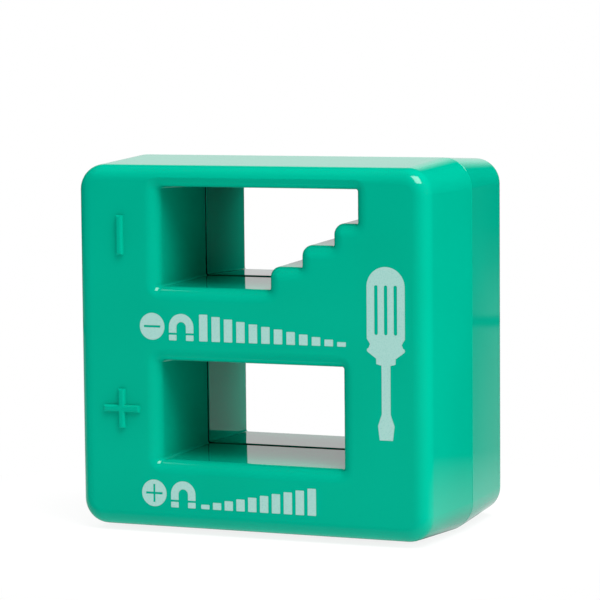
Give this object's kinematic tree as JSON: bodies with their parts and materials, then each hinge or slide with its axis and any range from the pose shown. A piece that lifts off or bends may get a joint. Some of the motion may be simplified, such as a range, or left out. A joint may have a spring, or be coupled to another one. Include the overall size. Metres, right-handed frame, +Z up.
{
  "type": "tool demagnetizer",
  "caption": "Moulded block with two through windows and fixed magnets inside: the plain window magnetizes a tool blade, the stepped one demagnetizes it.",
  "frame": {"origin": "middle of the base edge, on the parting plane between the two half shells", "axes": "+X to the right seen from the front, +Y from the front face with the raised marks to the rear face, +Z up"},
  "size_m": [0.052, 0.0309, 0.0504],
  "materials": {
    "case_plastic": "satin moulded ABS in jade green",
    "print_ink": "thin pale pad print on the case",
    "ferrite": "sintered ferrite, ground dark grey",
    "mild_steel": "cold-rolled sheet, deburred",
    "foam": "closed-cell foam, matt black"
  },
  "bodies": {
    "root": {"front_shell": "case_plastic", "rear_shell": "case_plastic", "centre_magnet": "ferrite", "base_magnet": "ferrite", "shunt_plate": "mild_steel", "keeper_plate": "mild_steel", "centre_pad": "foam", "base_pad": "foam"}
  },
  "joints": []
}
